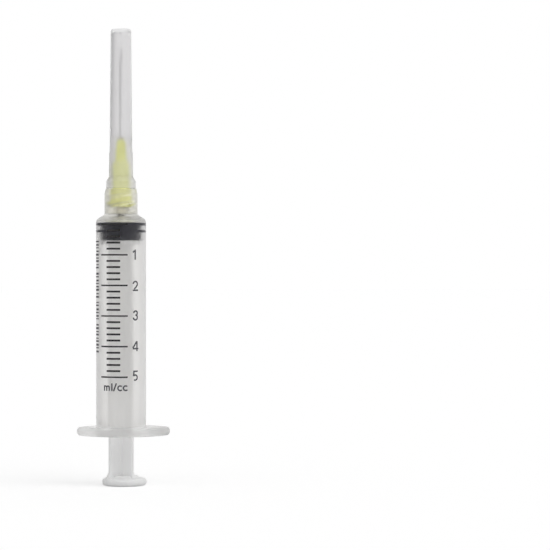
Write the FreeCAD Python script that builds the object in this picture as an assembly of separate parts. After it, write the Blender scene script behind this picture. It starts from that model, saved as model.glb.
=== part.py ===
import FreeCAD, Part
import math
import os

from FreeCAD import Vector

# A 5 ml luer lock syringe with its capped needle, plunger fully in, standing on its thumb disc.
# The origin is on the barrel's axis at the thumb disc's underside, +Z points up to the needle.
# The printed scale faces -Y and the finger flange's wings lie along X. All lengths are in mm.

# Plunger rod
disc_radius = 6.2
disc_thickness = 2.0
disc_edge_round = 0.9
disc_shift = 0.9            # the disc lies a little off the rod's axis, towards +X
disc_dome_radius = 4.4
disc_dome_rise = 0.7
dome_foot_round = 0.8
dome_edge_round = 0.5
rib_reach = 4.6
rib_thickness = 1.0
rib_edge_round = 0.3
rib_angle = 45.0
rib_foot_width = 0.9
rib_foot_height = 1.4
rib_foot_round = 1.6
web_core_radius = 1.1
pusher_radius = 5.6
pusher_thickness = 1.1
pusher_gap = 0.1
pusher_edge_round = 0.2
neck_radius = 2.3
head_radius = 3.1
head_length = 1.9
head_rim_length = 0.63       # from the head's underside to where it starts to narrow
head_foot_round = 0.2
head_rim_round = 0.3
head_nose_round = 0.5

# Barrel: tube, finger flange, shoulder
bore_radius = 6.135
barrel_wall = 0.815
thumb_gap = 11.85           # from the thumb disc's top to the flange, plunger fully in
barrel_length = 60.15       # from the flange's underside to the corner of the shoulder
flange_thickness = 2.45
flange_half_span = 12.95
flange_half_depth = 8.6
flange_tip_radius = 2.6
flange_edge_round = 1.05
flange_shift = 0.65         # one wing is a little longer than the other
flange_collar = 0.55
flange_root_round = 0.45
mouth_flare = 0.45
mouth_depth = 1.4
mouth_round = 0.4
stop_ring_height = 4.0      # from the flange's underside to the ring that keeps the stopper in
stop_ring_reach = 0.3
stop_ring_width = 0.5
stop_ring_round = 0.2
shoulder_rise = 1.55
shoulder_round = 1.5
shoulder_root_round = 0.7
inner_corner_drop = 0.75
end_bevel_width = 0.9
end_bevel_rise = 0.47
end_cone_rise = 0.13
end_wall = 1.45

# Luer tip and lock collar, with a double-start right-hand inner thread
collar_radius = 4.6
collar_bore_radius = 4.0
collar_length = 7.15
collar_rim_taper = 0.33     # how much the collar's outside draws in towards its rim
collar_taper_length = 1.5
collar_taper_round = 1.5
collar_lead_in = 0.1
collar_floor_round = 0.25
tip_projection = 2.1
tip_end_radius = 1.98
luer_taper = 0.03           # growth of the radius per mm, a 6 % taper on the diameter
tip_bore_radius = 1.1
tip_end_round = 0.2
thread_lead = 5.0
thread_starts = 2
thread_crest_radius = 3.5
thread_crest_width = 0.5
thread_root_width = 1.0
thread_floor_gap = 0.95
thread_rim_gap = 0.75
thread_start_angle = 120.0
rib_embed = 0.15            # how deep a thread rib or lug is rooted in the wall that carries it

# Rubber stopper
stopper_core_radius = 5.7
seal_ring_width = 0.83
seal_ring_bevel = 0.12
seal_groove_width = 1.05
stopper_rear_length = 2.06
stopper_lip_length = 1.2
stopper_back_round = 0.3
stopper_face_round = 0.3
cavity_entry_flare = 0.5
cavity_end_round = 0.5

# Printed scale
print_thickness = 0.04
scale_volume = 5
ticks_per_ml = 5
long_tick_from = -51.6      # degrees around the barrel from -Y, positive towards +X
long_tick_to = 15.1
long_tick_width = 0.42
short_tick_from = -35.0
short_tick_to = -2.0
short_tick_width = 0.52

# Needle hub
hub_floor_gap = 2.3
hub_skirt_radius = 3.05
hub_skirt_length = 4.3
hub_step_length = 0.7
hub_body_radius = 2.45
hub_body_length = 6.7
hub_cone_length = 2.3
hub_stem_root_radius = 1.25
hub_stem_top_radius = 1.0
hub_stem_length = 4.9
hub_edge_round = 0.15
hub_step_round = 0.3
hub_shoulder_round = 0.8
hub_stem_foot_round = 1.5
fin_count = 4
fin_thickness = 0.6
fin_start = 0.9             # from the foot of the hub's body
stem_fin_thickness = 0.4
stem_fin_foot_reach = 2.2   # radius of the stem's fins at their foot, on top of the hub's body
stem_fin_top_reach = 1.5
stem_fin_end_gap = 0.6      # from the fins' top to the top of the stem
socket_beyond_tip = 1.6
funnel_length = 1.4
funnel_radius = 0.62
funnel_round = 0.3
cannula_seat_length = 6.7
well_radius = 0.78
well_depth = 1.2
lug_radius = 3.88
lug_root_width = 0.9
lug_crest_width = 0.55
lug_span = 46.0             # degrees
lug_rim_gap = 0.05

# Cannula, 20 gauge
cannula_radius = 0.45
cannula_bore_radius = 0.30
cannula_exposed = 25.4
bevel_angle = 12.0
lancet_angle = 17.0
lancet_turn = 35.0
lancet_length = 2.2

# Bond bead
bead_rise = 0.55
bead_lip_width = 0.1

# Needle cap
cap_wall = 0.6
cap_end_wall = 0.9
cap_nose_room = 4.4
cap_skirt_radius = 4.1
cap_skirt_length = 2.0
cap_shoulder_length = 1.2
cap_root_radius = 3.38
cap_step_height = 10.0      # from the cap's rim to a small step in its outside
cap_step_reach = 0.12
cap_top_radius = 2.84
cap_top_round = 0.6
cap_edge_round = 0.2
cap_skirt_round = 0.9
cap_root_round = 0.7
cap_inner_skirt_round = 0.5
cap_inner_round = 0.4

# Shared by all the mouldings
fine_round = 0.1            # the least rounding of a moulded edge
fillet_share = 0.45         # the most of a wall that the rounding of its edge takes

# Clearances
seal_clearance = 0.03
end_gap = 0.10
head_clearance = 0.05
luer_clearance = 0.02
lug_flank_clearance = 0.10
bead_clearance = 0.02
fin_clearance = 0.04
cannula_seat_clearance = 0.01
cap_rim_gap = 0.10

# Sizes and heights that follow from the ones above
barrel_radius = bore_radius + barrel_wall
ml_spacing = 1000.0 / (math.pi * bore_radius ** 2)

flange_z = disc_thickness + thumb_gap
flange_top_z = flange_z + flange_thickness
shoulder_z = flange_z + barrel_length
collar_root_z = shoulder_z + shoulder_rise
bore_end_z = shoulder_z - inner_corner_drop
end_face_radius = bore_radius - end_bevel_width
end_face_z = bore_end_z + end_bevel_rise
end_apex_z = end_face_z + end_cone_rise
collar_floor_z = end_apex_z + end_wall
collar_top_z = collar_root_z + collar_length
tip_end_z = collar_top_z + tip_projection

seal_radius = bore_radius - seal_clearance
front_ring_z = bore_end_z - end_gap
groove_top_z = front_ring_z - seal_ring_width
groove_foot_z = groove_top_z - seal_groove_width
rear_ring_foot_z = groove_foot_z - seal_ring_width
stopper_back_z = rear_ring_foot_z - stopper_rear_length
stopper_face_z = end_face_z - end_gap
stopper_apex_z = end_apex_z - end_gap
pusher_top_z = stopper_back_z - pusher_gap
pusher_foot_z = pusher_top_z - pusher_thickness
head_foot_z = stopper_back_z + stopper_lip_length + head_clearance
head_top_z = head_foot_z + head_length

zero_z = front_ring_z - seal_ring_width / 2

hub_z = collar_floor_z + hub_floor_gap
hub_skirt_top_z = hub_z + hub_skirt_length
hub_body_z = hub_skirt_top_z + hub_step_length
hub_body_top_z = hub_body_z + hub_body_length
hub_cone_top_z = hub_body_top_z + hub_cone_length
hub_top_z = hub_cone_top_z + hub_stem_length
socket_end_z = tip_end_z + socket_beyond_tip
cannula_foot_z = hub_top_z - cannula_seat_length
needle_tip_z = hub_top_z + cannula_exposed

cap_z = collar_top_z + cap_rim_gap
cap_skirt_top_z = cap_z + cap_skirt_length
cap_root_z = cap_skirt_top_z + cap_shoulder_length
cap_inner_top_z = needle_tip_z + cap_nose_room
cap_top_z = cap_inner_top_z + cap_end_wall

UP = Vector(0, 0, 1)
ORIGIN = Vector(0, 0, 0)
TOLERANCE = 1e-6
SETBACK_SHARE = 0.49        # the most of a straight run that the arc at its end takes


def tip_radius_at(z):
    """Radius of the luer tip at a height."""
    return tip_end_radius + luer_taper * (tip_end_z - z)


def socket_radius_at(z):
    """Radius of the hub's luer socket at a height."""
    return tip_radius_at(z) + luer_clearance


def cap_radius_at(z):
    """Outer radius of the cap's long tapered sleeve at a height."""
    share = (z - cap_root_z) / (cap_top_z - cap_root_z)
    return cap_root_radius + share * (cap_top_radius - cap_root_radius)


def rounded_wire(corners):
    """Closed wire through (point, radius) corners, with a tangent arc at each corner that has one."""
    bends = []
    for index, (point, radius) in enumerate(corners):
        before = corners[index - 1][0]
        after = corners[(index + 1) % len(corners)][0]
        if radius <= 0:
            bends.append((point, None, point))
            continue
        to_before = (before - point).normalize()
        to_after = (after - point).normalize()
        half_angle = to_before.getAngle(to_after) / 2
        room = SETBACK_SHARE * min(before.distanceToPoint(point), after.distanceToPoint(point))
        setback = min(radius / math.tan(half_angle), room)
        bisector = (to_before + to_after).normalize()
        reach = setback / math.cos(half_angle) - setback * math.tan(half_angle)
        bends.append((point + to_before * setback, point + bisector * reach, point + to_after * setback))
    edges = []
    for index, (start, middle, end) in enumerate(bends):
        if middle is not None:
            edges.append(Part.Arc(start, middle, end).toShape())
        following = bends[(index + 1) % len(bends)][0]
        if end.distanceToPoint(following) > TOLERANCE:
            edges.append(Part.makeLine(end, following))
    return Part.Wire(edges)


def turned(outline):
    """Solid of revolution about the axis from (radius, height, corner round) points."""
    corners = [(Vector(radius, 0, z), corner_round) for radius, z, corner_round in outline]
    return Part.Face(rounded_wire(corners)).revolve(ORIGIN, UP, 360)


def one_solid(shape):
    """The single solid of a fused shape, with its seams merged."""
    return shape.removeSplitter().Solids[0]


def copies_around(shape, count):
    """Copies of a shape spaced evenly around the axis."""
    copies = []
    for index in range(count):
        copy = shape.copy()
        copy.rotate(ORIGIN, UP, 360.0 * index / count)
        copies.append(copy)
    return copies


def helical_rib(foot_z, height, angle, root, crest):
    """Rib along the thread's helix from foot_z up, starting at an angle.

    root and crest are (radius, width) pairs of its trapezoid section, at the wall and at its top.
    The section runs on past the root into the wall, so that the two fuse.
    """
    root_radius, root_width = root
    crest_radius, crest_width = crest
    growth = (root_width - crest_width) / (root_radius - crest_radius)
    sink = math.copysign(rib_embed, root_radius - crest_radius)
    base_radius = root_radius + sink
    base_width = root_width + sink * growth
    spine = Part.Wire(Part.makeHelix(thread_lead, height, base_radius))
    section = Part.makePolygon([
        Vector(base_radius, 0, -base_width / 2),
        Vector(crest_radius, 0, -crest_width / 2),
        Vector(crest_radius, 0, crest_width / 2),
        Vector(base_radius, 0, base_width / 2),
        Vector(base_radius, 0, -base_width / 2),
    ])
    rib = spine.makePipeShell([section], True, True)
    rib.rotate(ORIGIN, UP, angle)
    rib.translate(Vector(0, 0, foot_z))
    return rib


def thread_height_at(angle):
    """Height of the middle of the first thread rib at an angle around the axis."""
    return collar_floor_z + thread_floor_gap + thread_lead * (angle - thread_start_angle) / 360.0


def lug_angle():
    """Angle of the middle of the first lug, where it bears on the rib above it."""
    spacing = rib_half_width_at(lug_radius) + lug_crest_width / 2 + lug_flank_clearance
    rise = lug_middle_z() + spacing - thread_height_at(thread_start_angle)
    return thread_start_angle + 360.0 * rise / thread_lead


def rib_half_width_at(radius):
    """Half the axial width of a collar thread rib at a radius."""
    share = (radius - thread_crest_radius) / (collar_bore_radius - thread_crest_radius)
    return (thread_crest_width + share * (thread_root_width - thread_crest_width)) / 2


def lug_middle_z():
    """Height of the middle of a lug, whose lower end is just above the hub's rim."""
    return hub_z + lug_rim_gap + lug_root_width / 2 + thread_lead * lug_span / 720.0


def flange_plate():
    """Lens-shaped finger flange with rounded tips and edges, before it is bored."""
    tip_x = flange_half_span - flange_tip_radius
    square_gap = tip_x ** 2 + flange_half_depth ** 2 - flange_tip_radius ** 2
    side_radius = square_gap / (2 * (flange_half_depth - flange_tip_radius))
    centre_y = side_radius - flange_half_depth
    lean = math.atan2(centre_y, tip_x)
    touch_x = tip_x + flange_tip_radius * math.cos(lean)
    touch_y = flange_tip_radius * math.sin(lean)
    plan = Part.Wire([
        Part.Arc(Vector(touch_x, touch_y, 0), Vector(0, flange_half_depth, 0),
                 Vector(-touch_x, touch_y, 0)).toShape(),
        Part.Arc(Vector(-touch_x, touch_y, 0), Vector(-flange_half_span, 0, 0),
                 Vector(-touch_x, -touch_y, 0)).toShape(),
        Part.Arc(Vector(-touch_x, -touch_y, 0), Vector(0, -flange_half_depth, 0),
                 Vector(touch_x, -touch_y, 0)).toShape(),
        Part.Arc(Vector(touch_x, -touch_y, 0), Vector(flange_half_span, 0, 0),
                 Vector(touch_x, touch_y, 0)).toShape(),
    ])
    plate = Part.Face(plan).extrude(UP * flange_thickness)
    flat_edges = [edge for edge in plate.Edges if abs(edge.tangentAt(edge.FirstParameter).z) < 0.5]
    plate = plate.makeFillet(min(flange_edge_round, fillet_share * flange_thickness), flat_edges)
    plate.translate(Vector(flange_shift, 0, flange_z))
    return plate


def barrel():
    """One moulding: tube with finger flange and stop ring, shoulder, luer tip and lock collar."""
    collar_foot_radius = barrel_radius + flange_collar
    ring_z = flange_z + stop_ring_height
    body = turned([
        (bore_radius + mouth_flare, flange_z, fine_round),
        (collar_foot_radius, flange_z, 0),
        (collar_foot_radius, flange_top_z, 0),
        (barrel_radius, flange_top_z, flange_root_round),
        (barrel_radius, shoulder_z, shoulder_round),
        (collar_radius, collar_root_z, shoulder_root_round),
        (collar_radius, collar_top_z - collar_taper_length, collar_taper_round),
        (collar_radius - collar_rim_taper, collar_top_z, fine_round),
        (collar_bore_radius + collar_lead_in, collar_top_z, 0),
        (collar_bore_radius, collar_top_z - 2 * collar_lead_in, 0),
        (collar_bore_radius, collar_floor_z, collar_floor_round),
        (tip_radius_at(collar_floor_z), collar_floor_z, collar_floor_round),
        (tip_end_radius, tip_end_z, tip_end_round),
        (tip_bore_radius, tip_end_z, fine_round),
        (tip_bore_radius, end_apex_z, tip_end_round),
        (end_face_radius, end_face_z, 0),
        (bore_radius, bore_end_z, fine_round),
        (bore_radius, ring_z + stop_ring_width, stop_ring_round),
        (bore_radius - stop_ring_reach, ring_z, stop_ring_round),
        (bore_radius, ring_z - stop_ring_width, stop_ring_round),
        (bore_radius, flange_z + mouth_depth, mouth_round),
    ])
    mouth = Part.makeCylinder(bore_radius + mouth_flare, flange_thickness, Vector(0, 0, flange_z))
    plate = flange_plate().cut(mouth)
    height = collar_top_z - thread_rim_gap - collar_floor_z - thread_floor_gap
    rib = helical_rib(
        collar_floor_z + thread_floor_gap,
        height,
        thread_start_angle,
        (collar_bore_radius, thread_root_width),
        (thread_crest_radius, thread_crest_width),
    )
    return one_solid(body.fuse([plate] + copies_around(rib, thread_starts)))


def print_tick(z, width, angle_from, angle_to):
    """Thin curved bar of ink on the barrel, centred on a height."""
    outside = Part.makeCylinder(
        barrel_radius + print_thickness, width, Vector(0, 0, z - width / 2), UP, angle_to - angle_from)
    inside = Part.makeCylinder(barrel_radius, width, Vector(0, 0, z - width / 2))
    bar = outside.cut(inside)
    bar.rotate(ORIGIN, UP, angle_from - 90.0)
    return bar


def scale_print():
    """All graduation lines of the scale as one group of separate ink bars."""
    bars = []
    for step in range(scale_volume * ticks_per_ml + 1):
        z = zero_z - step * ml_spacing / ticks_per_ml
        if step % ticks_per_ml == 0:
            bars.append(print_tick(z, long_tick_width, long_tick_from, long_tick_to))
        else:
            bars.append(print_tick(z, short_tick_width, short_tick_from, short_tick_to))
    return Part.makeCompound(bars)


def thumb_disc():
    """Thumb disc with a low dome on top, shifted off the rod's axis."""
    disc = turned([
        (0, 0, 0),
        (disc_radius, 0, disc_edge_round),
        (disc_radius, disc_thickness, disc_edge_round),
        (disc_dome_radius, disc_thickness, dome_foot_round),
        (disc_dome_radius - disc_dome_rise, disc_thickness + disc_dome_rise, dome_edge_round),
        (0, disc_thickness + disc_dome_rise, 0),
    ])
    disc.translate(Vector(disc_shift, 0, 0))
    return disc


def rod_web():
    """One of the two crossing webs of the rod, wider at its foot on the disc."""
    half = rib_thickness / 2
    foot = rib_reach + rib_foot_width
    # The webs start inside the disc so that the two fuse.
    foot_z = disc_thickness / 2
    outline = rounded_wire([
        (Vector(-foot, -half, foot_z), 0),
        (Vector(foot, -half, foot_z), 0),
        (Vector(foot, -half, disc_thickness), 0),
        (Vector(rib_reach, -half, disc_thickness + rib_foot_height), rib_foot_round),
        (Vector(rib_reach, -half, pusher_foot_z + pusher_thickness / 2), 0),
        (Vector(-rib_reach, -half, pusher_foot_z + pusher_thickness / 2), 0),
        (Vector(-rib_reach, -half, disc_thickness + rib_foot_height), rib_foot_round),
        (Vector(-foot, -half, disc_thickness), 0),
    ])
    web = Part.Face(outline).extrude(Vector(0, rib_thickness, 0))
    long_edges = []
    for edge in web.Edges:
        start, end = [vertex.Point for vertex in edge.Vertexes]
        if abs(start.x - end.x) < TOLERANCE and abs(start.z - end.z) > rib_reach:
            long_edges.append(edge)
    return web.makeFillet(min(rib_edge_round, fillet_share * rib_thickness), long_edges)


def plunger_rod():
    """One moulding: thumb disc, cross-shaped rod, pusher disc, and the head inside the stopper."""
    pusher = turned([
        (0, pusher_foot_z, 0),
        (pusher_radius, pusher_foot_z, pusher_edge_round),
        (pusher_radius, pusher_top_z, pusher_edge_round),
        (neck_radius - head_clearance, pusher_top_z, 0),
        (neck_radius - head_clearance, head_foot_z, 0),
        (head_radius - head_clearance, head_foot_z, head_foot_round),
        (head_radius - head_clearance, head_foot_z + head_rim_length, head_rim_round),
        (neck_radius - 2 * head_clearance, head_top_z, head_nose_round),
        (0, head_top_z, 0),
    ])
    core = Part.makeCylinder(web_core_radius, pusher_foot_z - disc_thickness, Vector(0, 0, disc_thickness))
    webs = []
    for turn in (rib_angle, rib_angle + 90.0):
        web = rod_web()
        web.rotate(ORIGIN, UP, turn)
        webs.append(web)
    return one_solid(thumb_disc().fuse([core, pusher] + webs))


def plunger_stopper():
    """Rubber stopper with two sealing rings, hollow behind for the rod's head."""
    return turned([
        (neck_radius + cavity_entry_flare, stopper_back_z, fine_round),
        (stopper_core_radius, stopper_back_z, stopper_back_round),
        (stopper_core_radius, rear_ring_foot_z, fine_round),
        (seal_radius, rear_ring_foot_z + seal_ring_bevel, fine_round),
        (seal_radius, groove_foot_z - seal_ring_bevel, fine_round),
        (stopper_core_radius, groove_foot_z, fine_round),
        (stopper_core_radius, groove_top_z, fine_round),
        (seal_radius, groove_top_z + seal_ring_bevel, fine_round),
        (seal_radius, front_ring_z, fine_round),
        (end_face_radius, stopper_face_z, stopper_face_round),
        (0, stopper_apex_z, 0),
        (0, head_top_z + head_clearance, 0),
        (neck_radius, head_top_z + head_clearance, cavity_end_round),
        (head_radius, head_foot_z + head_rim_length, head_rim_round),
        (head_radius, head_foot_z - head_clearance, head_foot_round),
        (neck_radius, head_foot_z - head_clearance, 0),
        (neck_radius, stopper_back_z + cavity_entry_flare, 0),
    ])


def hub_fin(root, foot, top, thickness):
    """Upright fin of the hub from a root radius inside its wall out to its foot and top.

    foot and top are (radius, height) pairs of the fin's outer edge.
    """
    foot_radius, foot_z = foot
    top_radius, top_z = top
    side = Part.makePolygon([
        Vector(root, -thickness / 2, foot_z),
        Vector(foot_radius, -thickness / 2, foot_z),
        Vector(top_radius, -thickness / 2, top_z),
        Vector(root, -thickness / 2, top_z),
        Vector(root, -thickness / 2, foot_z),
    ])
    return Part.Face(side).extrude(Vector(0, thickness, 0))


def hub_lug():
    """One of the two lock lugs: a short piece of helix on the hub's rim, like the thread it runs in."""
    rise = thread_lead * lug_span / 360.0
    return helical_rib(
        lug_middle_z() - rise / 2,
        rise,
        lug_angle() - lug_span / 2,
        (hub_skirt_radius, lug_root_width),
        (lug_radius, lug_crest_width),
    )


def needle_hub():
    """Moulded hub: luer socket, two lock lugs, finned body that holds the cap, stem with a bond well."""
    seat_radius = cannula_radius + cannula_seat_clearance
    fin_top_radius = cap_radius_at(hub_body_top_z) - cap_wall - fin_clearance
    body = turned([
        (socket_radius_at(hub_z), hub_z, fine_round),
        (hub_skirt_radius, hub_z, hub_edge_round),
        (hub_skirt_radius, hub_skirt_top_z, hub_edge_round),
        (hub_body_radius, hub_body_z, hub_step_round),
        (hub_body_radius, hub_body_top_z, hub_shoulder_round),
        (hub_stem_root_radius, hub_cone_top_z, hub_stem_foot_round),
        (hub_stem_top_radius, hub_top_z, hub_edge_round),
        (well_radius, hub_top_z, 0),
        (well_radius, hub_top_z - well_depth, fine_round),
        (seat_radius, hub_top_z - well_depth, 0),
        (seat_radius, cannula_foot_z, 0),
        (funnel_radius, cannula_foot_z, 0),
        (funnel_radius, socket_end_z + funnel_length, funnel_round),
        (socket_radius_at(socket_end_z), socket_end_z, funnel_round),
    ])
    wall_middle = (hub_body_radius + socket_radius_at(hub_body_z)) / 2
    body_fin = hub_fin(
        wall_middle, (fin_top_radius, hub_body_z + fin_start), (fin_top_radius, hub_body_top_z), fin_thickness)
    # The stem's fins start inside the body, so that they stand on its rounded shoulder without a gap.
    stem_fin = hub_fin(
        (well_radius + hub_stem_top_radius) / 2,
        (stem_fin_foot_reach, hub_body_top_z - hub_shoulder_round),
        (stem_fin_top_reach, hub_top_z - stem_fin_end_gap),
        stem_fin_thickness,
    )
    fins = copies_around(body_fin, fin_count)
    stem_fins = copies_around(stem_fin, fin_count)
    for fin in fins + stem_fins:
        fin.rotate(ORIGIN, UP, 180.0 / fin_count)
    lugs = copies_around(hub_lug(), thread_starts)
    return one_solid(body.fuse(fins + stem_fins + lugs))


def grind(turn, angle, foot_z):
    """Everything on the ground-off side of a plane that rises from foot_z on the -Y side."""
    size = cannula_exposed
    block = Part.makeBox(size, size, size, Vector(-size / 2, -size, 0))
    block.rotate(ORIGIN, Vector(1, 0, 0), -angle)
    block.translate(Vector(0, -cannula_radius, foot_z))
    block.rotate(ORIGIN, UP, turn)
    return block


def needle_cannula():
    """Steel tube whose tip is ground to a bevel facing -Y, with two steeper side grinds."""
    tube = Part.makeCylinder(cannula_radius, needle_tip_z - cannula_foot_z, Vector(0, 0, cannula_foot_z))
    bore = Part.makeCylinder(
        cannula_bore_radius, needle_tip_z - cannula_foot_z, Vector(0, 0, cannula_foot_z))
    bevel_foot_z = needle_tip_z - 2 * cannula_radius / math.tan(math.radians(bevel_angle))
    lancet_foot_z = needle_tip_z - lancet_length
    tube = tube.cut(bore)
    tube = tube.cut(grind(0, bevel_angle, bevel_foot_z))
    for turn in (-lancet_turn, lancet_turn):
        tube = tube.cut(grind(turn, lancet_angle, lancet_foot_z))
    return tube.Solids[0]


def needle_bond():
    """Bead of glue that fills the well around the cannula and rises a little up it."""
    inner = cannula_radius + bead_clearance
    outer = well_radius - bead_clearance
    foot_z = hub_top_z - well_depth + bead_clearance
    return turned([
        (inner, foot_z, 0),
        (outer, foot_z, fine_round),
        (outer, hub_top_z, fine_round),
        (inner + bead_lip_width, hub_top_z + bead_rise, 0),
        (inner, hub_top_z + bead_rise, 0),
    ])


def needle_cap():
    """Clear cap, closed at the top: skirt over the collar's rim, then a long tapered sleeve."""
    step_z = cap_z + cap_step_height
    return turned([
        (cap_skirt_radius - cap_wall, cap_z, fine_round),
        (cap_skirt_radius, cap_z, cap_edge_round),
        (cap_skirt_radius, cap_skirt_top_z, cap_skirt_round),
        (cap_root_radius, cap_root_z, cap_root_round),
        (cap_radius_at(step_z), step_z, 0),
        (cap_radius_at(step_z) - cap_step_reach, step_z, 0),
        (cap_top_radius, cap_top_z, cap_top_round),
        (0, cap_top_z, 0),
        (0, cap_inner_top_z, 0),
        (cap_radius_at(cap_inner_top_z) - cap_wall, cap_inner_top_z, cap_inner_round),
        (cap_root_radius - cap_wall, cap_root_z, cap_inner_round),
        (cap_skirt_radius - cap_wall, cap_skirt_top_z, cap_inner_skirt_round),
    ])


SUB_PARTS = {
    "barrel": barrel,
    "scale_print": scale_print,
    "plunger_rod": plunger_rod,
    "plunger_stopper": plunger_stopper,
    "needle_hub": needle_hub,
    "needle_cannula": needle_cannula,
    "needle_bond": needle_bond,
    "needle_cap": needle_cap,
}

os.makedirs("parts", exist_ok=True)
for node, make in SUB_PARTS.items():
    shape = make()
    shape.exportStep(os.path.join("parts", node + ".step"))
    print(node, "solids", len(shape.Solids), "volume", round(shape.Volume, 2), "valid", shape.isValid())
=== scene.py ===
"""A 5 ml luer lock syringe with a capped needle: its finishes, rubber, printed scale and a white studio."""
import logging
import math
from collections.abc import Sequence
from dataclasses import dataclass, field
from enum import Enum

import bpy
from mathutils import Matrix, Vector


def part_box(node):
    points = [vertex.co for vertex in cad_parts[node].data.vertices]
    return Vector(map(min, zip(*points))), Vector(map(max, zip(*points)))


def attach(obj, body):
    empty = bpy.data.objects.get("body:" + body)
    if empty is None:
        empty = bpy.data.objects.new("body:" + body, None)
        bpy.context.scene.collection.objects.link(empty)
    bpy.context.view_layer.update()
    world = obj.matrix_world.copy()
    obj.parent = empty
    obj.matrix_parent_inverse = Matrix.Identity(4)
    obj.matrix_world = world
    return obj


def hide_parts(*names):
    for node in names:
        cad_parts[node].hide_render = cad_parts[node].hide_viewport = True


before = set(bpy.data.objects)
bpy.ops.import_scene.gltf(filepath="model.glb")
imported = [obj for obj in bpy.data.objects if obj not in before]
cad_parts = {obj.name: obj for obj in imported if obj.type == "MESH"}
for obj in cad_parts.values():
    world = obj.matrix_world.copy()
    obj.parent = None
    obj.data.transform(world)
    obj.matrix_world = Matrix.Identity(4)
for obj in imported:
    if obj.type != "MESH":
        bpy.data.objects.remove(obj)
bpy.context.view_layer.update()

logging.basicConfig(level=logging.INFO, format="%(message)s")
LOG = logging.getLogger("syringe")

MM = 0.001
MERGE_DISTANCE = 0.0005 * MM

Colour = tuple[float, float, float]
Socket = bpy.types.NodeSocket


class Wiring:
    """A node tree with short calls to add nodes and join them."""

    def __init__(self, tree: bpy.types.NodeTree) -> None:
        """Work on one tree.

        Args:
            tree: the tree that the nodes are added to.
        """
        self.tree = tree

    def add(self, kind: str, values: dict[str | int, object] | None = None,
            **settings: object) -> bpy.types.Node:
        """Add a node.

        Args:
            kind: the node's type, without the leading ShaderNode.
            values: what its input sockets hold or are fed by, by name or number.
            settings: its other properties.

        Returns:
            The new node.
        """
        node = self.tree.nodes.new("ShaderNode" + kind)
        for name, value in settings.items():
            setattr(node, name, value)
        for socket, value in (values or {}).items():
            self.feed(node.inputs[socket], value)
        return node

    def feed(self, socket: Socket, value: object) -> None:
        """Set an input to a value, or join it to an output.

        Args:
            socket: the input.
            value: its value, or the output that feeds it.
        """
        if isinstance(value, bpy.types.NodeSocket):
            self.tree.links.new(value, socket)
        else:
            socket.default_value = value

    def math(self, operation: str, first: object, second: object = 0.0) -> Socket:
        """Add a math node and give its result."""
        return self.add("Math", {0: first, 1: second}, operation=operation).outputs[0]

    def ramp(self, value: Socket, low: float, high: float, start: object, end: object) -> Socket:
        """Map a value from low..high to start..end, eased at both ends.

        Args:
            value: the socket that is mapped.
            low: where the mapping starts.
            high: where it ends.
            start: the result at low and below.
            end: the result at high and above.

        Returns:
            The mapped value's socket.
        """
        node = self.add(
            "MapRange", {0: value, 1: low, 2: high, 3: start, 4: end}, interpolation_type="SMOOTHSTEP")
        return node.outputs[0]

    def blend(self, factor: object, first: object, second: object) -> Socket:
        """Mix two colours by a factor.

        Args:
            factor: 0 gives the first colour, 1 the second.
            first: a colour with alpha, or a socket.
            second: a colour with alpha, or a socket.

        Returns:
            The mixed colour's socket.
        """
        node = self.add("Mix", data_type="RGBA")
        self.feed(node.inputs["Factor"], factor)
        self.feed(node.inputs[6], first)
        self.feed(node.inputs[7], second)
        return node.outputs[2]


class SurfaceDetail:
    """Shader group of what moulding and handling leave: flow streaks, fine grain and faint scuffs."""

    NAME = "surface_detail"
    STREAK_RANGE = (0.35, 0.65)
    SCUFF_RANGE = (0.52, 0.72)

    @classmethod
    def tree(cls) -> bpy.types.NodeTree:
        """Make the group's tree on its first use.

        Returns:
            The tree, with its named inputs and outputs.
        """
        if cls.NAME in bpy.data.node_groups:
            return bpy.data.node_groups[cls.NAME]
        tree = bpy.data.node_groups.new(cls.NAME, "ShaderNodeTree")
        for name in ("Streaks", "Stretch", "Grain", "Scuffs"):
            tree.interface.new_socket(name, in_out="INPUT", socket_type="NodeSocketFloat")
        for name in ("Streak", "Grain", "Scuff"):
            tree.interface.new_socket(name, in_out="OUTPUT", socket_type="NodeSocketFloat")
        wiring = Wiring(tree)
        given = tree.nodes.new("NodeGroupInput").outputs
        result = tree.nodes.new("NodeGroupOutput").inputs
        place = wiring.add("TexCoord").outputs["Object"]
        along = wiring.math("DIVIDE", given["Streaks"], given["Stretch"])
        lengths = wiring.add("CombineXYZ", {0: given["Streaks"], 1: given["Streaks"], 2: along}).outputs[0]
        drawn = wiring.add("VectorMath", {0: place, 1: lengths}, operation="MULTIPLY").outputs[0]
        streak = wiring.add("TexNoise", {"Vector": drawn, "Scale": 1.0, "Detail": 3.0}).outputs["Fac"]
        grain = wiring.add("TexNoise", {"Vector": place, "Scale": given["Grain"], "Detail": 2.0})
        cloud = wiring.add("TexNoise", {
            "Vector": place, "Scale": given["Scuffs"], "Detail": 5.0, "Distortion": 1.2}).outputs["Fac"]
        wiring.feed(result["Streak"], wiring.ramp(streak, *cls.STREAK_RANGE, 0.0, 1.0))
        wiring.feed(result["Grain"], grain.outputs["Fac"])
        wiring.feed(result["Scuff"], wiring.ramp(cloud, *cls.SCUFF_RANGE, 0.0, 1.0))
        return tree


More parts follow.
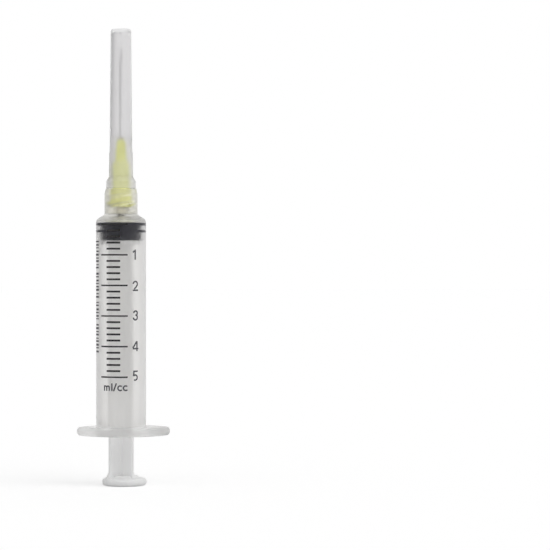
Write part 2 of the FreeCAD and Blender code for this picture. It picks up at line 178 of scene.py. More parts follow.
@dataclass(frozen=True)
class Finish:
    """What every finish shares: two close colours, a range of roughness, and fine relief."""

    name: str
    colour: Colour
    shade: Colour
    smooth: float = 0.2
    rough: float = 0.35
    streaks: float = 700.0
    stretch: float = 30.0
    grain: float = 2200.0
    scuffs: float = 160.0
    relief: float = 0.01 * MM
    relief_strength: float = 0.15

    def build(self) -> bpy.types.Material:
        """Make the finish's material.

        Returns:
            The new material.
        """
        material = bpy.data.materials.new(self.name)
        material.use_nodes = True
        wiring = Wiring(material.node_tree)
        shader = material.node_tree.nodes["Principled BSDF"]
        detail = wiring.add("Group", node_tree=SurfaceDetail.tree())
        for name in ("Streaks", "Stretch", "Grain", "Scuffs"):
            detail.inputs[name].default_value = getattr(self, name.lower())
        colour = wiring.blend(detail.outputs["Streak"], (*self.colour, 1.0), (*self.shade, 1.0))
        wiring.feed(shader.inputs["Base Color"], self.tint(wiring, colour))
        rough = wiring.ramp(detail.outputs["Scuff"], 0.0, 1.0, self.smooth, self.rough)
        wiring.feed(shader.inputs["Roughness"], self.polish(wiring, rough))
        height = wiring.math("MULTIPLY_ADD", detail.outputs["Grain"], 1.0)
        wiring.feed(height.node.inputs[2], detail.outputs["Streak"])
        bump = wiring.add("Bump", {
            "Strength": self.relief_strength, "Distance": self.relief, "Height": height})
        wiring.feed(shader.inputs["Normal"], bump.outputs["Normal"])
        self.set_kind(wiring, shader.inputs)
        return material

    def tint(self, wiring: Wiring, colour: Socket) -> Socket:
        """Change the colour over the surface; a plain finish leaves it."""
        return colour

    def polish(self, wiring: Wiring, rough: Socket) -> Socket:
        """Change the roughness over the surface; a plain finish leaves it."""
        return rough

    def set_kind(self, wiring: Wiring, inputs: bpy.types.NodeInputs) -> None:
        """Set what makes this kind of material; a plain finish sets nothing more."""

    def height_share(self, wiring: Wiring, low: float, high: float) -> Socket:
        """Share from 0 at one height to 1 at another.

        Args:
            wiring: the tree it is added to.
            low: the height where it is 0, in metres.
            high: the height where it is 1.

        Returns:
            The share's socket.
        """
        place = wiring.add("TexCoord").outputs["Object"]
        height = wiring.add("SeparateXYZ", {0: place}).outputs["Z"]
        return wiring.ramp(height, low, high, 0.0, 1.0)


@dataclass(frozen=True)
class ClearPlastic(Finish):
    """Moulded polypropylene that light passes through."""

    transmission: float = 0.9
    refraction: float = 1.49

    def set_kind(self, wiring: Wiring, inputs: bpy.types.NodeInputs) -> None:
        """Set how much light passes and how it bends."""
        inputs["Transmission Weight"].default_value = self.transmission
        inputs["IOR"].default_value = self.refraction


@dataclass(frozen=True)
class CapPlastic(ClearPlastic):
    """The cap's clear plastic, smoother in its plain upper tube."""

    upper_from: float = 0.0
    upper_to: float = 1.0
    upper_share: float = 0.6

    def polish(self, wiring: Wiring, rough: Socket) -> Socket:
        """Make the upper tube smoother than the skirt."""
        share = self.height_share(wiring, self.upper_from, self.upper_to)
        return wiring.math("MULTIPLY", rough, wiring.ramp(share, 0.0, 1.0, 1.0, self.upper_share))


@dataclass(frozen=True)
class MilkyPlastic(Finish):
    """Moulded polypropylene so thick that light only wanders about in it."""

    depth: float = 2.0 * MM

    def set_kind(self, wiring: Wiring, inputs: bpy.types.NodeInputs) -> None:
        """Set how deep light wanders, the same for each colour.

        Args:
            wiring: the material's tree; not used.
            inputs: its shader's inputs.
        """
        inputs["Subsurface Weight"].default_value = 1.0
        inputs["Subsurface Radius"].default_value = (1.0, 1.0, 1.0)
        inputs["Subsurface Scale"].default_value = self.depth


@dataclass(frozen=True)
class DyedPlastic(Finish):
    """Dyed plastic that is deeper in the middle and at the thick foot, and paler in its thin fins: partly the
    thin plastic's own tone, partly painted light shining through them.
    """

    deep: Colour = (0.97, 0.99, 0.42)
    # Colour of the thin fins: partly their own lighter tone, partly painted light shining through them.
    pale_and_painted_glow: Colour = (0.98, 1.0, 0.50)
    thick_from: float = 0.0
    thick_to: float = 1.0
    thick_share: float = 0.8
    thin_from: float = 1.1 * MM
    thin_to: float = 2.6 * MM

    def tint(self, wiring: Wiring, colour: Socket) -> Socket:
        """Fade the dye outwards from the axis into the thin fins, partly as painted light shining through
        them, and deepen it towards the thick foot.

        Args:
            wiring: the material's tree.
            colour: the streaked colour.

        Returns:
            The changed colour's socket.
        """
        place = wiring.add("TexCoord").outputs["Object"]
        level = wiring.add("VectorMath", {0: place, 1: (1.0, 1.0, 0.0)}, operation="MULTIPLY").outputs[0]
        reach = wiring.add("VectorMath", {0: level}, operation="LENGTH").outputs["Value"]
        # Thin fins away from the axis are painted paler: partly their own tone, partly painted light shining
        # through them.
        thin = wiring.ramp(reach, self.thin_from, self.thin_to, 0.0, 1.0)
        colour = wiring.blend(thin, colour, (*self.pale_and_painted_glow, 1.0))
        share = self.height_share(wiring, self.thick_to, self.thick_from)
        share = wiring.math("MULTIPLY", share, self.thick_share)
        return wiring.blend(share, colour, (*self.deep, 1.0))


@dataclass(frozen=True)
class BarrelPlastic(ClearPlastic):
    """The barrel's clear plastic, cloudier in the solid flange, and warmer in the thick lock collar."""

    cloudy: Colour = (0.88, 0.87, 0.82)
    cloudy_from: float = 0.0
    cloudy_to: float = 1.0
    flange: Colour = (0.845, 0.842, 0.836)
    flange_matt: float = 1.5
    flange_from: float = 0.0
    flange_to: float = 1.0

    def tint(self, wiring: Wiring, colour: Socket) -> Socket:
        """Cloud the colour in the flange, and warm it from the shoulder up.

        Args:
            wiring: the material's tree.
            colour: the streaked colour.

        Returns:
            The changed colour's socket.
        """
        share = self.height_share(wiring, self.flange_to, self.flange_from)
        colour = wiring.blend(share, colour, (*self.flange, 1.0))
        share = self.height_share(wiring, self.cloudy_from, self.cloudy_to)
        return wiring.blend(share, colour, (*self.cloudy, 1.0))

    def polish(self, wiring: Wiring, rough: Socket) -> Socket:
        """Make the solid flange matt, as light scatters in it."""
        share = self.height_share(wiring, self.flange_to, self.flange_from)
        return wiring.math("MULTIPLY", rough, wiring.ramp(share, 0.0, 1.0, 1.0, self.flange_matt))


@dataclass(frozen=True)
class Rubber(Finish):
    """Moulded rubber, wetted by a trace of lubricant."""

    gloss: float = 0.04

    def set_kind(self, wiring: Wiring, inputs: bpy.types.NodeInputs) -> None:
        """Set the faint gloss of the wetted rubber."""
        inputs["Specular IOR Level"].default_value = self.gloss


@dataclass(frozen=True)
class Steel(Finish):
    """Drawn steel tube with a smoother ground tip."""

    ground_from: float = 1.0
    ground_to: float = 1.1
    ground_share: float = 0.4

    def polish(self, wiring: Wiring, rough: Socket) -> Socket:
        """Make the ground tip smoother than the drawn tube.

        Args:
            wiring: the material's tree.
            rough: the drawn tube's roughness.

        Returns:
            The changed roughness's socket.
        """
        drawn = wiring.math("SUBTRACT", 1.0, self.height_share(wiring, self.ground_from, self.ground_to))
        factor = wiring.ramp(drawn, 0.0, 1.0, self.ground_share, 1.0)
        return wiring.math("MULTIPLY", rough, factor)

    def set_kind(self, wiring: Wiring, inputs: bpy.types.NodeInputs) -> None:
        """Set it to bare metal."""
        inputs["Metallic"].default_value = 1.0


class Heading(float, Enum):
    """Directions a pen stroke can start in, in degrees from the way the line reads."""

    RIGHT = 0.0
    UP = 90.0


@dataclass(frozen=True)
class Run:
    """A straight move of the pen."""

    length: float


@dataclass(frozen=True)
class Bend:
    """A round move of the pen: degrees are positive to the left and negative to the right."""

    radius: float
    degrees: float


@dataclass(frozen=True)
class Stroke:
    """One pen stroke: where it starts, which way, and its moves."""

    start: tuple[float, float]
    heading: float
    moves: tuple[Run | Bend, ...]


class Workbench:
    """Steps that every modelled piece goes through."""

    @staticmethod
    def clear_selection() -> None:
        """Leave nothing selected, in object mode."""
        if bpy.context.object is not None and bpy.context.object.mode != "OBJECT":
            bpy.ops.object.mode_set(mode="OBJECT")
        bpy.ops.object.select_all(action="DESELECT")

    @staticmethod
    def join(name: str, pieces: Sequence[bpy.types.Object]) -> bpy.types.Object:
        """Join pieces into one.

        Args:
            name: the joined piece's name.
            pieces: what is joined.

        Returns:
            The joined piece.
        """
        Workbench.clear_selection()
        for piece in pieces:
            piece.select_set(True)
        bpy.context.view_layer.objects.active = pieces[0]
        if len(pieces) > 1:
            bpy.ops.object.join()
        joined = bpy.context.object
        joined.name = name
        joined.data.name = name
        return joined

    @staticmethod
    def apply(piece: bpy.types.Object, kind: str, **settings: object) -> None:
        """Add a modifier to a piece and apply it.

        Args:
            piece: the piece that is changed.
            kind: the modifier's type.
            settings: its values.
        """
        Workbench.clear_selection()
        piece.select_set(True)
        bpy.context.view_layer.objects.active = piece
        modifier = piece.modifiers.new(kind.lower(), kind)
        for name, value in settings.items():
            setattr(modifier, name, value)
        bpy.ops.object.modifier_apply(modifier=modifier.name)

    @staticmethod
    def close_and_smooth(piece: bpy.types.Object, angle: float = 35.0) -> None:
        """Merge doubled points, turn the faces outwards and shade them smooth.

        Args:
            piece: the piece that is finished.
            angle: edges sharper than this many degrees stay crisp.
        """
        Workbench.clear_selection()
        piece.select_set(True)
        bpy.context.view_layer.objects.active = piece
        bpy.ops.object.mode_set(mode="EDIT")
        bpy.ops.mesh.select_all(action="SELECT")
        bpy.ops.mesh.remove_doubles(threshold=MERGE_DISTANCE)
        bpy.ops.mesh.normals_make_consistent(inside=False)
        bpy.ops.object.mode_set(mode="OBJECT")
        bpy.ops.object.shade_smooth_by_angle(angle=math.radians(angle))

    @staticmethod
    def hand_over(piece: bpy.types.Object, material: bpy.types.Material, slot: str, body: str) -> None:
        """Give a finished piece its material and the body that it moves with.

        Args:
            piece: the finished piece.
            material: its material.
            slot: the record's name for that material; not used.
            body: the body it moves with.
        """
        piece.data.materials.clear()
        piece.data.materials.append(material)
        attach(piece, body)
        LOG.info("%s: %d faces, on %s", piece.name, len(piece.data.polygons), body)


@dataclass
class RubberStopper:
    """The black stopper: two sealing rings that press on the bore, hollow for the rod's head."""

    material: bpy.types.Material
    core_radius: float = 5.7 * MM
    bore_clearance: float = 0.03 * MM
    bite: float = 0.02 * MM
    ring_width: float = 0.83 * MM
    groove_width: float = 1.05 * MM
    ring_bevel: float = 0.12 * MM
    rear_length: float = 2.06 * MM
    bevel_reach: float = 0.9 * MM
    face_drop: float = 0.13 * MM
    neck_radius: float = 2.3 * MM
    entry_flare: float = 0.5 * MM
    head_radius: float = 3.1 * MM
    lip_length: float = 1.2 * MM
    head_rim_length: float = 0.68 * MM
    head_length: float = 1.95 * MM
    segments: int = 128
    round_steps: int = 4

    def outline(self) -> list[tuple[float, float, float]]:
        """Work out the half section, from the front face round to the hollow behind.

        Returns:
            Its corners, each as radius, height and corner round.
        """
        low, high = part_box("plunger_stopper")
        bore_radius = high[0] + self.bore_clearance
        ring = bore_radius + self.bite
        back = low[2]
        apex = high[2]
        rear_ring = back + self.rear_length
        groove = rear_ring + self.ring_width
        front_ring = groove + self.groove_width
        front = front_ring + self.ring_width
        fine = 0.06 * MM
        soft = 0.25 * MM
        head_foot = back + self.lip_length
        return [
            (0.0, apex, 0.0),
            (bore_radius - self.bevel_reach, apex - self.face_drop, soft),
            (ring, front, fine),
            (ring, front_ring + self.ring_bevel, fine),
            (self.core_radius, front_ring, fine),
            (self.core_radius, groove, fine),
            (ring, groove - self.ring_bevel, fine),
            (ring, rear_ring + self.ring_bevel, fine),
            (self.core_radius, rear_ring, fine),
            (self.core_radius, back, soft),
            (self.neck_radius + self.entry_flare, back, fine),
            (self.neck_radius, back + self.entry_flare, fine),
            (self.neck_radius, head_foot, 0.0),
            (self.head_radius, head_foot, fine),
            (self.head_radius, head_foot + self.head_rim_length, soft),
            (self.neck_radius, head_foot + self.head_length, soft),
            (0.0, head_foot + self.head_length, 0.0),
        ]

    def build(self) -> None:
        """Draw the half section, round its corners and spin it about the axis."""
        outline = self.outline()
        Workbench.clear_selection()
        bpy.ops.mesh.primitive_plane_add(size=1.0 * MM)
        piece = bpy.context.object
        piece.name = "stopper_rubber"
        self.draw_section(piece, outline)
        self.round_corners(piece, outline)
        bpy.ops.mesh.select_all(action="SELECT")
        bpy.ops.mesh.spin(steps=self.segments, angle=math.tau, center=(0, 0, 0), axis=(0, 0, 1))
        bpy.ops.object.mode_set(mode="OBJECT")
        Workbench.close_and_smooth(piece)
        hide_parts("plunger_stopper")
        Workbench.hand_over(piece, self.material, "black_rubber", "stopper")

    def draw_section(self, piece: bpy.types.Object, outline: Sequence[tuple[float, float, float]]) -> None:
        """Keep one point of the plane, move it to the section's start, and extrude it corner by corner.

        Args:
            piece: the plane that the section is made from.
            outline: the section's corners.
        """
        for vertex in piece.data.vertices:
            vertex.select = vertex.index > 0
        for edge in piece.data.edges:
            edge.select = False
        for face in piece.data.polygons:
            face.select = False
        bpy.ops.object.mode_set(mode="EDIT")
        bpy.ops.mesh.select_mode(type="VERT")
        bpy.ops.mesh.delete(type="VERT")
        bpy.ops.mesh.select_all(action="SELECT")
        bpy.ops.object.mode_set(mode="OBJECT")
        piece.data.vertices[0].co = (outline[0][0], 0.0, outline[0][1])
        bpy.ops.object.mode_set(mode="EDIT")
        for before, after in zip(outline, outline[1:]):
            step = (after[0] - before[0], 0.0, after[1] - before[1])
            bpy.ops.mesh.extrude_region_move(TRANSFORM_OT_translate={"value": step})

    def round_corners(self, piece: bpy.types.Object, outline: Sequence[tuple[float, float, float]]) -> None:
        """Bevel the section's corners, each by its own round.

        Args:
            piece: the drawn section, open in edit mode.
            outline: its corners.
        """
        for size in sorted({corner[2] for corner in outline if corner[2] > 0}):
            bpy.ops.mesh.select_all(action="DESELECT")
            bpy.ops.object.mode_set(mode="OBJECT")
            places = [Vector((radius, 0.0, height)) for radius, height, corner in outline if corner == size]
            for vertex in piece.data.vertices:
                vertex.select = any((vertex.co - place).length < MERGE_DISTANCE for place in places)
            bpy.ops.object.mode_set(mode="EDIT")
            bpy.ops.mesh.bevel(offset=size, segments=self.round_steps, affect="VERTICES")


@dataclass
class ScaleLettering:
    """Numerals 1 to 5, the unit, and a column of small bars, as thin ink on the barrel.

    Lengths are in metres, and places round the barrel in degrees from -Y, positive to the right.
    """

    material: bpy.types.Material
    ink: float = 0.04 * MM
    lift: float = 0.003 * MM
    marked_ml: int = 5
    long_tick_width: float = 0.42 * MM
    numeral_height: float = 2.8 * MM
    numeral_middle: float = 34.6
    numeral_turns: tuple[float, ...] = (-3.0, 0.0, 0.0, 0.0, 0.0)
    numeral_rises: tuple[float, ...] = (0.04 * MM, -0.16 * MM, 0.14 * MM, 0.08 * MM, 0.4 * MM)
    pen_width: float = 0.42 * MM
    unit_height: float = 2.3 * MM
    unit_middle: float = -13.7
    unit_pen_width: float = 0.39 * MM
    unit_drop: float = 3.8 * MM
    facet: float = 0.2 * MM
    bend_step: float = 12.0
    bar_from: float = -86.0
    bar_to: float = -63.0
    bar_groups: tuple[int, ...] = (9, 8, 6, 9)
    bar_widths: tuple[float, ...] = (0.34 * MM, 0.50 * MM, 0.30 * MM, 0.42 * MM, 0.56 * MM)
    bar_gaps: tuple[float, ...] = (0.50 * MM, 0.40 * MM, 0.62 * MM, 0.45 * MM)
    bar_insets: tuple[float, ...] = (0.0, 0.22, 0.1, 0.3)
    group_gap: float = 0.7 * MM
    bars_drop: float = 4.6 * MM
    surface: float = field(init=False)
    zero: float = field(init=False)
    spacing: float = field(init=False)

    def __post_init__(self) -> None:
        """Take the barrel's radius and the scale's heights from the printed lines."""
        low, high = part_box("scale_print")
        self.surface = -low[1] - self.ink + self.lift
        self.zero = high[2] - self.long_tick_width / 2
        self.spacing = (high[2] - low[2] - self.long_tick_width) / self.marked_ml

    def numerals(self) -> dict[str, tuple[Stroke, ...]]:
        """Write out the numerals, in parts of their height from the lower left of each.

        Returns:
            The strokes of each numeral, by its text.
        """
        half = self.pen_width / self.numeral_height / 2
        top = 1.0 - half
        return {
            "1": (
                Stroke((0.44, 0.0), Heading.UP, (Run(1.0),)),
                Stroke((0.17, 0.745), 18.0, (Bend(0.30, 45.0),)),
            ),
            "2": (
                Stroke((0.07, 0.70), Heading.UP,
                       (Bend(0.245, -215.0), Run(0.16), Bend(0.62, -22.0), Run(0.10))),
                Stroke((0.02, half), Heading.RIGHT, (Run(0.62),)),
            ),
            "3": (
                Stroke((0.07, 0.73), Heading.UP, (Bend(0.21, -250.0),)),
                Stroke((0.26, 0.535), Heading.RIGHT, (Bend(0.237, -270.0),)),
            ),
            "4": (
                Stroke((0.49, 0.0), Heading.UP, (Run(1.0),)),
                Stroke((0.02, 0.26), Heading.RIGHT, (Run(0.64),)),
                Stroke((0.46, 0.97), -125.0, (Run(0.79),)),
            ),
            "5": (
                Stroke((0.13, top), Heading.RIGHT, (Run(0.48),)),
                Stroke((0.17, 1.0), -97.0, (Run(0.54),)),
                Stroke((0.10, 0.47), 50.0, (Bend(0.255, -262.0),)),
            ),
        }

    def unit(self) -> tuple[Stroke, ...]:
        """Write out the unit under the scale, in parts of its height.

        Returns:
            Its strokes, letter by letter.
        """
        half = 0.08
        waist = 0.66
        arch = 0.17
        letters = [
            Stroke((0.07, 0.0), Heading.UP, (Run(waist),)),
            Stroke((0.07, waist - half - arch), Heading.UP, (Bend(arch, -180.0), Run(waist - half - arch))),
            Stroke((0.07 + 2 * arch, waist - half - arch), Heading.UP,
                   (Bend(arch, -180.0), Run(waist - half - arch))),
            Stroke((1.10, 0.0), Heading.UP, (Run(0.92),)),
            Stroke((1.32, -0.02), 70.0, (Run(1.0),)),
        ]
        for right in (2.32, 2.98):
            letters.append(Stroke((right, 0.53), 135.0, (Bend(0.275, 270.0),)))
        return tuple(letters)

    def draw(self, strokes: Sequence[Stroke], scale: float, width: float) -> list[bpy.types.Object]:
        """Draw strokes flat, each from an edge that is extruded along runs and spun round bends.

        Args:
            strokes: what is drawn, in parts of the glyph's height.
            scale: the glyph's height in metres.
            width: the pen's width in metres.

        Returns:
            One flat piece for each stroke.
        """
        pieces = []
        for stroke in strokes:
            angle = math.radians(stroke.heading)
            ahead = Vector((math.cos(angle), math.sin(angle), 0.0))
            point = Vector((stroke.start[0] * scale, stroke.start[1] * scale, 0.0))
            Workbench.clear_selection()
            bpy.ops.mesh.primitive_plane_add(
                size=width, location=point + ahead * width / 2, rotation=(0, 0, angle))
            piece = bpy.context.object
            bpy.ops.object.transform_apply(location=True, rotation=True, scale=True)
            self.keep_back_edge(piece, point, ahead)
            for move in stroke.moves:
                if isinstance(move, Run):
                    step = ahead * move.length * scale
                    bpy.ops.mesh.extrude_region_move(TRANSFORM_OT_translate={"value": tuple(step)})
                    point = point + step
                    continue
                turn = math.radians(move.degrees)
                side = math.copysign(1.0, turn)
                normal = Vector((-ahead.y, ahead.x, 0.0)) * side
                centre = point + normal * move.radius * scale
                steps = max(2, math.ceil(abs(move.degrees) / self.bend_step))
                bpy.ops.mesh.spin(steps=steps, angle=abs(turn), center=tuple(centre), axis=(0, 0, -side))
                angle += turn
                ahead = Vector((math.cos(angle), math.sin(angle), 0.0))
                point = centre - Vector((-ahead.y, ahead.x, 0.0)) * side * move.radius * scale
            bpy.ops.object.mode_set(mode="OBJECT")
            pieces.append(piece)
        return pieces

    def keep_back_edge(self, piece: bpy.types.Object, point: Vector, ahead: Vector) -> None:
        """Delete the plane but for the edge across the stroke's start, and leave that selected.

        Args:
            piece: the plane, laid along the stroke's first stretch.
            point: where the stroke starts.
            ahead: the way it starts.
        """
        for face in piece.data.polygons:
            face.select = False
        for edge in piece.data.edges:
            edge.select = False
        for vertex in piece.data.vertices:
            vertex.select = (vertex.co - point).dot(ahead) > MERGE_DISTANCE
        bpy.ops.object.mode_set(mode="EDIT")
        bpy.ops.mesh.select_mode(type="VERT")
        bpy.ops.mesh.delete(type="VERT")
        bpy.ops.mesh.select_all(action="SELECT")

    def ink_on(self, name: str, strokes: Sequence[bpy.types.Object], middle: float, height: float) -> None:
        """Thicken flat strokes, merge them, bend them round the barrel and hand them over.

        Args:
            name: the piece's name.
            strokes: the flat strokes.
            middle: the angle round the barrel that their middle comes to, in degrees from -Y.
            height: the height that their base line comes to.
        """
        solids = []
        for stroke in strokes:
            Workbench.apply(stroke, "SOLIDIFY", thickness=self.ink, offset=1.0)
            Workbench.close_and_smooth(stroke)
            solids.append(stroke)
        piece = Workbench.join(name, solids)
        if len(strokes) > 1:
            Workbench.apply(piece, "BOOLEAN", operation="UNION", operand_type="COLLECTION",
                            solver="EXACT", use_self=True)
        self.cut_for_bending(piece)
        across = [vertex.co.x for vertex in piece.data.vertices]
        centre = (min(across) + max(across)) / 2
        floor = min(vertex.co.z for vertex in piece.data.vertices)
        for vertex in piece.data.vertices:
            turn = math.radians(middle) + (vertex.co.x - centre) / self.surface
            reach = self.surface + vertex.co.z - floor
            vertex.co = (reach * math.sin(turn), -reach * math.cos(turn), height + vertex.co.y)
        Workbench.close_and_smooth(piece)
        Workbench.hand_over(piece, self.material, "print_ink", "barrel")

    def cut_for_bending(self, piece: bpy.types.Object) -> None:
        """Cut a flat piece into strips narrow enough to lie round the barrel.

        Args:
            piece: the flat piece.
        """
        across = [vertex.co.x for vertex in piece.data.vertices]
        count = math.ceil((max(across) - min(across)) / self.facet)
        Workbench.clear_selection()
        piece.select_set(True)
        bpy.context.view_layer.objects.active = piece
        bpy.ops.object.mode_set(mode="EDIT")
        for index in range(1, count):
            bpy.ops.mesh.select_all(action="SELECT")
            line = min(across) + (max(across) - min(across)) * index / count
            bpy.ops.mesh.bisect(plane_co=(line, 0, 0), plane_no=(1, 0, 0))
        bpy.ops.object.mode_set(mode="OBJECT")

    def side_bars(self) -> list[bpy.types.Object]:
        """Draw the side column flat, in groups of bars from its top down.

        Returns:
            One flat piece for each bar.
        """
        length = math.radians(self.bar_to - self.bar_from) * self.surface
        bars = []
        down = 0.0
        for count in self.bar_groups:
            for _ in range(count):
                width = self.bar_widths[len(bars) % len(self.bar_widths)]
                inset = length * self.bar_insets[len(bars) % len(self.bar_insets)]
                middle = down - width / 2
                down -= width + self.bar_gaps[len(bars) % len(self.bar_gaps)]
                stroke = Stroke((inset / MM, middle / MM), Heading.RIGHT, (Run((length - inset) / MM),))
                bars += self.draw([stroke], MM, width)
            down -= self.group_gap
        return bars

    def build(self) -> None:
        """Draw and place everything."""
        settings = zip(self.numerals().items(), self.numeral_turns, self.numeral_rises)
        for (text, strokes), turn, rise in settings:
            middle = self.zero - int(text) * self.spacing + rise
            self.ink_on("numeral_" + text, self.draw(strokes, self.numeral_height, self.pen_width),
                        self.numeral_middle + turn, middle - self.numeral_height / 2)
        base = self.zero - self.marked_ml * self.spacing - self.unit_drop
        self.ink_on("unit_mark", self.draw(self.unit(), self.unit_height, self.unit_pen_width),
                    self.unit_middle, base)
        self.ink_on("side_bars", self.side_bars(), (self.bar_from + self.bar_to) / 2,
                    self.zero - self.bars_drop)


@dataclass(frozen=True)
class Lamp:
    """Where a lamp shines from, in degrees from the camera's side and above the floor, and its strength."""

    azimuth: float
    elevation: float
    strength: float


@dataclass
class Studio:
    """White floor and surroundings, soft lamps, and the camera at the photograph's angle.

    The mirror_ values are what gloss reflects. The dim_ values darken what is seen through clear plastic
    behind on the left, and the window_ values brighten the surroundings in front on the right.
    """

    frame_pixels: int = 550
    axis_pixel_x: float = 121.05
    horizon_pixel_y: float = 258.0
    pixels_per_mm: float = 3.583
    camera_distance: float = 650 * MM
    camera_height: float = 63.4 * MM
    sensor_width: float = 36.0
    nearest_seen: float = 10 * MM
    floor_size: float = 8.0
    floor_colour: float = 0.8
    floor_roughness: float = 0.9
    floor_lift: float = 0.38
    surround: float = 0.55
    mirror_from: float = -0.95
    mirror_to: float = 0.05
    mirror_front: float = 0.05
    mirror_back: float = 0.95
    mirror_right: float = 0.35
    mirror_least: float = 0.04
    dim_share: float = 0.6
    dim_from: float = -0.6
    dim_to: float = 0.0
    dim_depth: float = 0.5
    window_way: tuple[float, float, float] = (0.8, -0.6, 0.0)
    window_gain: float = 0.35
    window_from: float = 0.2
    window_to: float = 1.0
    inner_mirror: float = 0.15
    key: Lamp = Lamp(azimuth=50.0, elevation=60.0, strength=0.5)
    fill: Lamp = Lamp(azimuth=-45.0, elevation=65.0, strength=0.2)
    lamp_spread: float = 40.0
    bounces: int = 24

    def add_camera(self) -> None:
        """Add the camera level with the middle of the barrel, turned so that the syringe stands left."""
        middle = self.frame_pixels / 2
        offset_px = middle - self.axis_pixel_x
        straight_px = self.pixels_per_mm / MM * self.camera_distance
        yaw = math.asin(offset_px / straight_px)
        focal_px = straight_px * math.cos(yaw)
        pitch = math.atan2(middle - self.horizon_pixel_y, focal_px)
        data = bpy.data.cameras.new("camera")
        data.sensor_width = self.sensor_width
        data.lens = focal_px * self.sensor_width / self.frame_pixels
        data.clip_start = self.nearest_seen
        camera = bpy.data.objects.new("camera", data)
        camera.location = (0.0, -self.camera_distance, self.camera_height)
        camera.rotation_euler = (math.radians(90) - pitch, 0.0, -yaw)
        bpy.context.scene.collection.objects.link(camera)
        bpy.context.scene.camera = camera

    def ray_kinds(self, wiring: Wiring, names: Sequence[str]) -> Socket:
        """Ask what kind of ray it is.

        Args:
            wiring: the tree it is added to.
            names: the Light Path outputs that count.

        Returns:
            The largest of them: 1 for a ray of one of those kinds, or a number of bounces.
        """
        path = wiring.add("LightPath").outputs
        result = path[names[0]]
        for name in names[1:]:
            result = wiring.math("MAXIMUM", result, path[name])
        return result

    def add_floor(self) -> None:
        """Add the white floor, which keeps the syringe's shadow."""
        Workbench.clear_selection()
        bpy.ops.mesh.primitive_plane_add(size=self.floor_size)
        floor = bpy.context.object
        floor.name = "floor"
        material = bpy.data.materials.new("floor_white")
        material.use_nodes = True
        wiring = Wiring(material.node_tree)
        shader = material.node_tree.nodes["Principled BSDF"]
        white = (self.floor_colour, self.floor_colour, self.floor_colour, 1.0)
        shader.inputs["Base Color"].default_value = white
        shader.inputs["Roughness"].default_value = self.floor_roughness
        shader.inputs["Specular IOR Level"].default_value = 0.0
        shader.inputs["Emission Color"].default_value = (1.0, 1.0, 1.0, 1.0)
        seen = self.ray_kinds(wiring, ("Is Camera Ray", "Is Glossy Ray", "Is Transmission Ray"))
        wiring.feed(shader.inputs["Emission Strength"], wiring.math("MULTIPLY", seen, self.floor_lift))
        floor.data.materials.append(material)

    def add_world(self) -> None:
        """White surroundings: dimmer for gloss and behind on the left, brighter in front on the right."""
        world = bpy.data.worlds.new("surroundings")
        bpy.context.scene.world = world
        world.use_nodes = True
        world.node_tree.nodes.clear()
        wiring = Wiring(world.node_tree)
        direction = wiring.add("TexCoord").outputs["Generated"]
        part = wiring.add("SeparateXYZ", {0: direction}).outputs
        behind = wiring.ramp(part["Y"], self.mirror_from, self.mirror_to, self.mirror_front, self.mirror_back)
        mirrored = wiring.math("MULTIPLY_ADD", part["X"], self.mirror_right)
        wiring.feed(mirrored.node.inputs[2], behind)
        mirrored = wiring.math("MAXIMUM", mirrored, self.mirror_least)
        glossy = self.ray_kinds(wiring, ("Is Glossy Ray",))
        lit = wiring.add("Mix", {"Factor": glossy, 2: self.surround, 3: mirrored}).outputs[0]
        left = wiring.ramp(part["X"], self.dim_from, self.dim_to, self.dim_share, 0.0)
        back = wiring.ramp(part["Y"], 0.0, self.dim_depth, 0.0, 1.0)
        dimmed = wiring.math("MULTIPLY", left, back)
        through = wiring.math("SUBTRACT", 1.0, dimmed)
        reflected = wiring.math("MINIMUM", self.ray_kinds(wiring, ("Glossy Depth",)), 1.0)
        clear = wiring.math("SUBTRACT", 1.0, wiring.math("MULTIPLY", reflected, self.inner_mirror))
        clear = wiring.math("MULTIPLY", clear, self.ray_kinds(wiring, ("Is Transmission Ray",)))
        lit = wiring.add("Mix", {"Factor": clear, 2: lit, 3: through}).outputs[0]
        towards = wiring.add("VectorMath", {0: direction, 1: self.window_way}, operation="DOT_PRODUCT")
        window = wiring.ramp(towards.outputs["Value"], self.window_from, self.window_to,
                             1.0, 1.0 + self.window_gain)
        lit = wiring.math("MULTIPLY", lit, window)
        seen = self.ray_kinds(wiring, ("Is Camera Ray",))
        strength = wiring.add("Mix", {"Factor": seen, 2: lit, 3: 1.0}).outputs[0]
        light = wiring.add("Background", {"Color": (1.0, 1.0, 1.0, 1.0), "Strength": strength})
        out = wiring.add("OutputWorld")
        wiring.feed(out.inputs["Surface"], light.outputs[0])

    def add_lamp(self, name: str, lamp: Lamp) -> None:
        """Add a broad soft lamp.

        Args:
            name: the lamp's name.
            lamp: where it shines from, and how strongly.
        """
        data = bpy.data.lights.new(name, "SUN")
        data.energy = lamp.strength
        data.angle = math.radians(self.lamp_spread)
        source = bpy.data.objects.new(name, data)
        turn = math.radians(lamp.azimuth)
        rise = math.radians(lamp.elevation)
        way = Vector((math.sin(turn) * math.cos(rise), -math.cos(turn) * math.cos(rise), math.sin(rise)))
        source.rotation_euler = way.to_track_quat("Z", "Y").to_euler()
        bpy.context.scene.collection.objects.link(source)

    def build(self) -> None:
        """Set up the whole studio."""
        scene = bpy.context.scene
        scene.view_settings.view_transform = "Standard"
        scene.cycles.max_bounces = self.bounces
        scene.cycles.transmission_bounces = self.bounces
        scene.cycles.diffuse_bounces = self.bounces // 2
        scene.cycles.glossy_bounces = self.bounces // 2
        self.add_camera()
        self.add_floor()
        self.add_world()
        self.add_lamp("key", self.key)
        self.add_lamp("fill", self.fill)
        LOG.info("studio ready")


@dataclass
class Mouldings:
    """The CAD pieces that keep their shape and get their finish here."""

    finishes: dict[str, Finish]

    def dress(self) -> None:
        """Put each finish on its node; nodes with the same finish share one material."""
        made: dict[str, bpy.types.Material] = {}
        for node, finish in self.finishes.items():
            if finish.name not in made:
                made[finish.name] = finish.build()
            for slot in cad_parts[node].material_slots:
                slot.material = made[finish.name]
            LOG.info("%s in %s", node, finish.name)


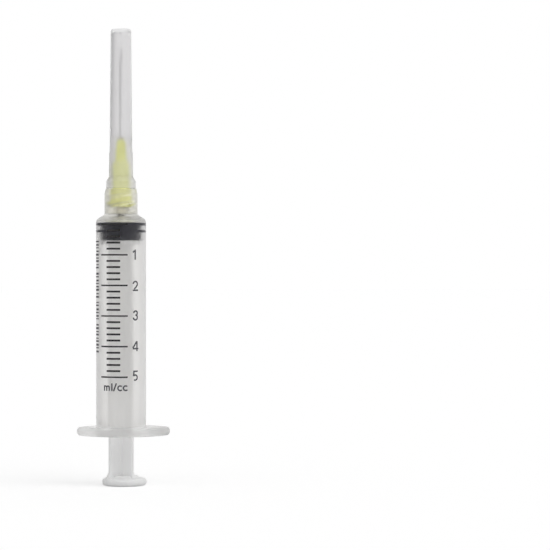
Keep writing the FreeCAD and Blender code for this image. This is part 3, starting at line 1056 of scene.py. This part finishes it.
def choose_finishes() -> dict[str, Finish]:
    """Choose the finish of each CAD node.

    Returns:
        The finishes, by the nodes' names.
    """
    flange_thickness = 2.5 * MM
    flange_fade = 0.7 * MM
    cloud_below = 0.5 * MM
    cloud_above = 1.0 * MM
    cap_fade = 2.5 * MM
    hub_base = 3.5 * MM
    bevel_reach = 4.0 * MM
    bevel_fade = 0.5 * MM
    hub_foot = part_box("needle_hub")[0][2]
    hub_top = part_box("needle_hub")[1][2]
    needle_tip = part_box("needle_cannula")[1][2]
    stopper_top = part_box("plunger_stopper")[1][2]
    flange_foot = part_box("barrel")[0][2]
    barrel = BarrelPlastic("barrel_plastic", (0.905, 0.9, 0.89), (0.885, 0.88, 0.875),
                           smooth=0.34, rough=0.42, transmission=1.0, refraction=1.3, relief_strength=0.04,
                           cloudy_from=stopper_top - cloud_below, cloudy_to=stopper_top + cloud_above,
                           flange_from=flange_foot + flange_thickness,
                           flange_to=flange_foot + flange_thickness + flange_fade)
    rod = MilkyPlastic("rod_plastic", (0.895, 0.895, 0.89), (0.875, 0.875, 0.875), smooth=0.5, rough=0.6,
                       relief_strength=0.05)
    cap = CapPlastic("cap_plastic", (0.89, 0.885, 0.885), (0.87, 0.866, 0.872), smooth=0.48, rough=0.58,
                     transmission=0.95, refraction=1.35, relief_strength=0.04,
                     upper_from=hub_top, upper_to=hub_top + cap_fade)
    yellow = DyedPlastic("yellow_plastic", (0.97, 0.99, 0.40), (0.95, 0.97, 0.36), smooth=0.4, rough=0.5,
                         thick_from=hub_foot, thick_to=hub_foot + hub_base, relief_strength=0.05)
    glue = ClearPlastic("clear_glue", (0.88, 0.86, 0.78), (0.84, 0.82, 0.72), smooth=0.08, rough=0.2,
                        transmission=0.9, refraction=1.55, stretch=1.0)
    rubber = Rubber("black_rubber", (0.003, 0.003, 0.03), (0.004, 0.004, 0.038), smooth=0.4, rough=0.6,
                    stretch=1.0, relief=0.02 * MM)
    ink = Finish("print_ink", (0.018, 0.017, 0.018), (0.035, 0.033, 0.034), smooth=0.6, rough=0.8,
                 streaks=1500.0, stretch=1.0)
    steel = Steel("needle_steel", (0.85, 0.85, 0.85), (0.75, 0.75, 0.76), smooth=0.14, rough=0.25,
                  streaks=6000.0, stretch=60.0, ground_from=needle_tip - bevel_reach - bevel_fade,
                  ground_to=needle_tip - bevel_reach)
    return {
        "barrel": barrel, "plunger_rod": rod, "needle_cap": cap, "needle_hub": yellow, "needle_bond": glue,
        "scale_print": ink, "needle_cannula": steel, "plunger_stopper": rubber,
    }


def main() -> None:
    """Build the studio, dress the mouldings, and add the rubber and the print, in order."""
    Studio().build()
    finishes = choose_finishes()
    Mouldings(finishes).dress()
    RubberStopper(bpy.data.materials["black_rubber"]).build()
    ScaleLettering(bpy.data.materials["print_ink"]).build()


if __name__ == "__main__":
    main()
